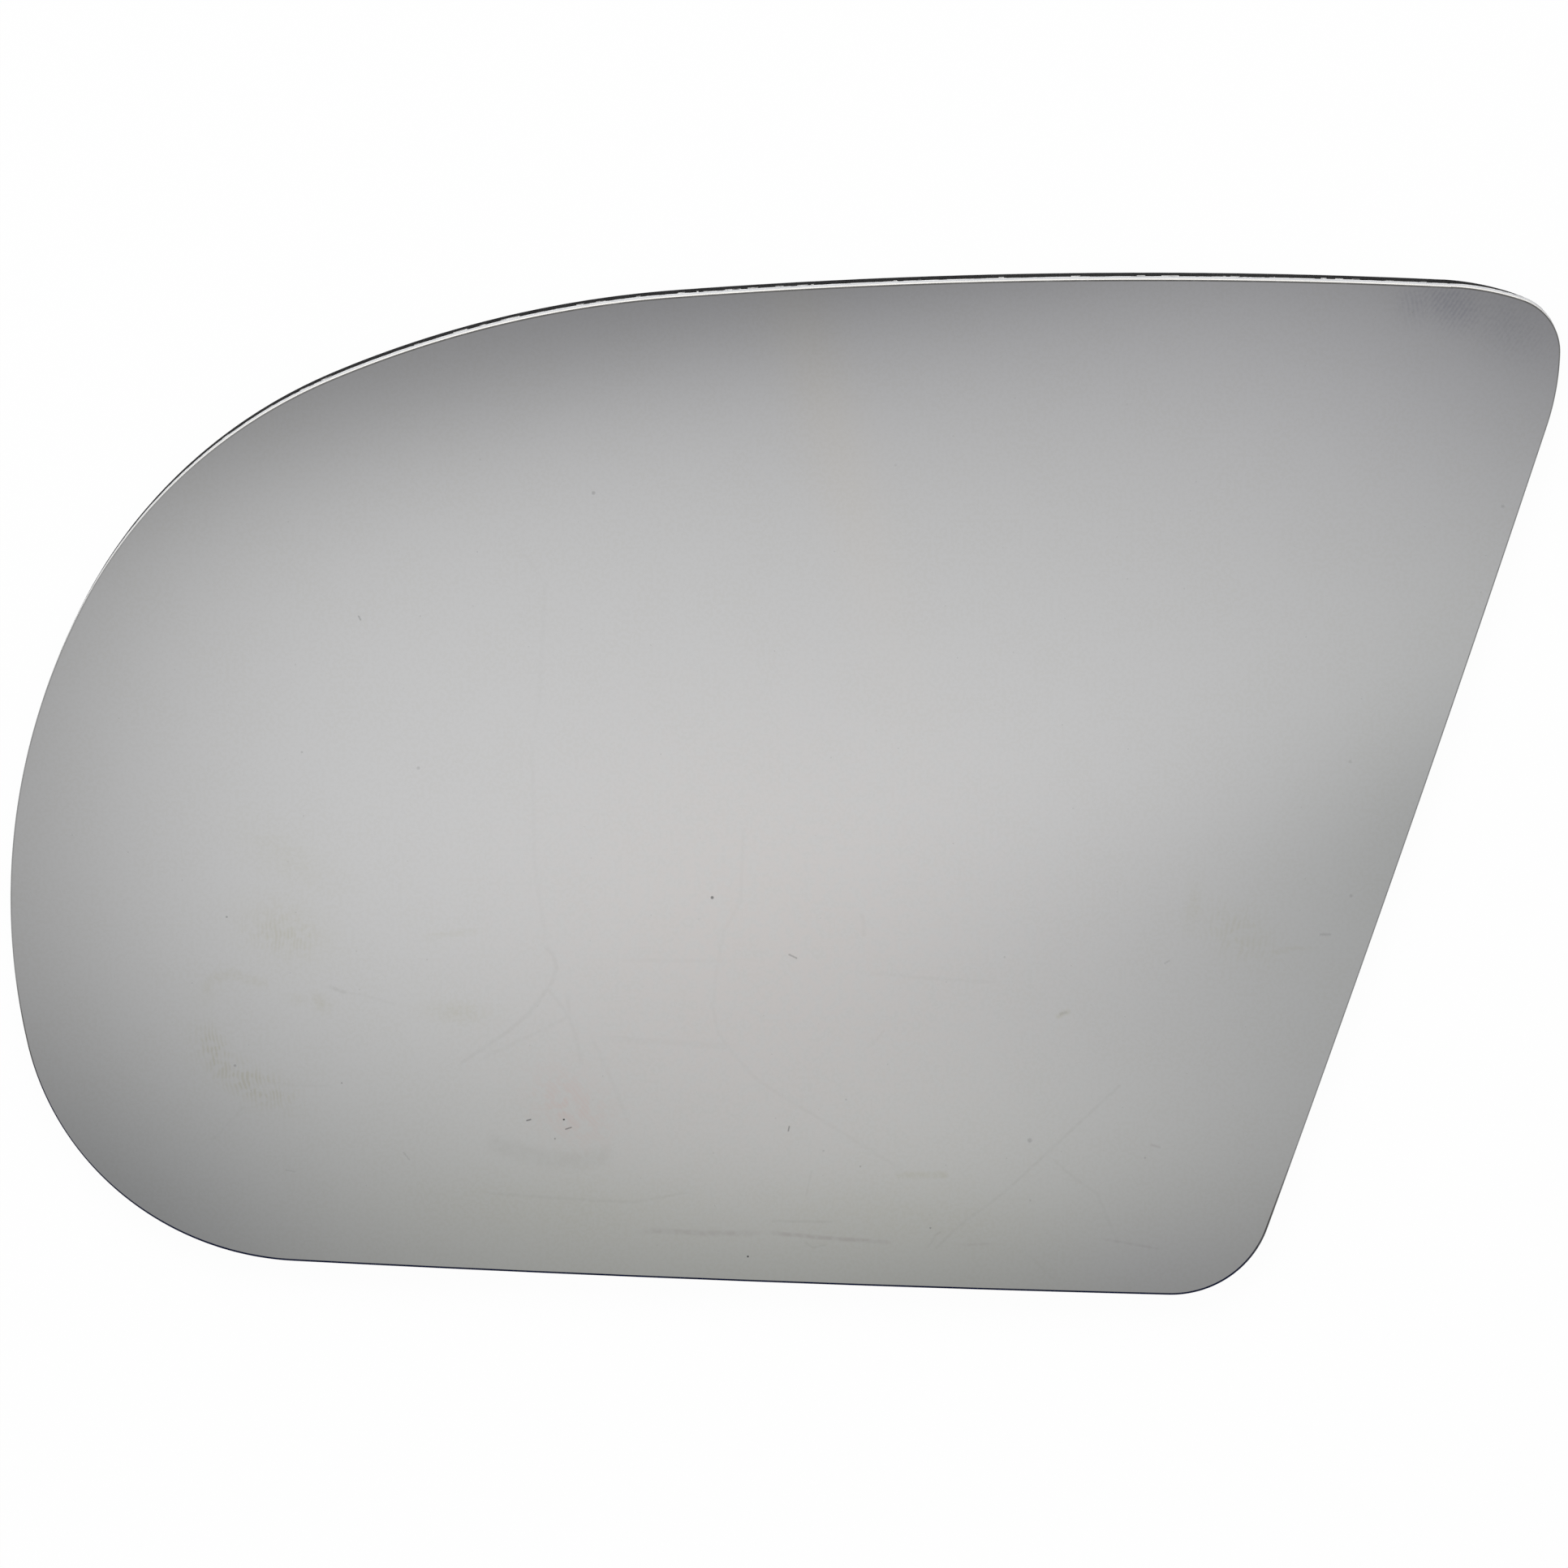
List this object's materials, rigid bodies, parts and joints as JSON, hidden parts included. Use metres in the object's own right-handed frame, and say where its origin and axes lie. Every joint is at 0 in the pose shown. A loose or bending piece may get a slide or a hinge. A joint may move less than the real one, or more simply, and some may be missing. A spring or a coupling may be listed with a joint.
{
  "type": "car door mirror glass",
  "caption": "Flat replacement glass for a car door mirror, cut to a rounded outline with a ground edge, on a black foam adhesive pad.",
  "frame": {"origin": "under the middle of the outline, on the back of the foam pad", "axes": "+Z is the way the mirror faces; +X runs along the length, from the round end to the straight side; +Y is up when the mirror is on a car"},
  "size_m": [0.17, 0.115, 0.0044],
  "materials": {
    "mirror_glass": "silvered on the back, with a ground edge",
    "foam_pad": "black closed-cell foam, matte"
  },
  "bodies": {
    "root": {"mirror_glass": "mirror_glass", "foam_pad": "foam_pad"}
  },
  "joints": []
}
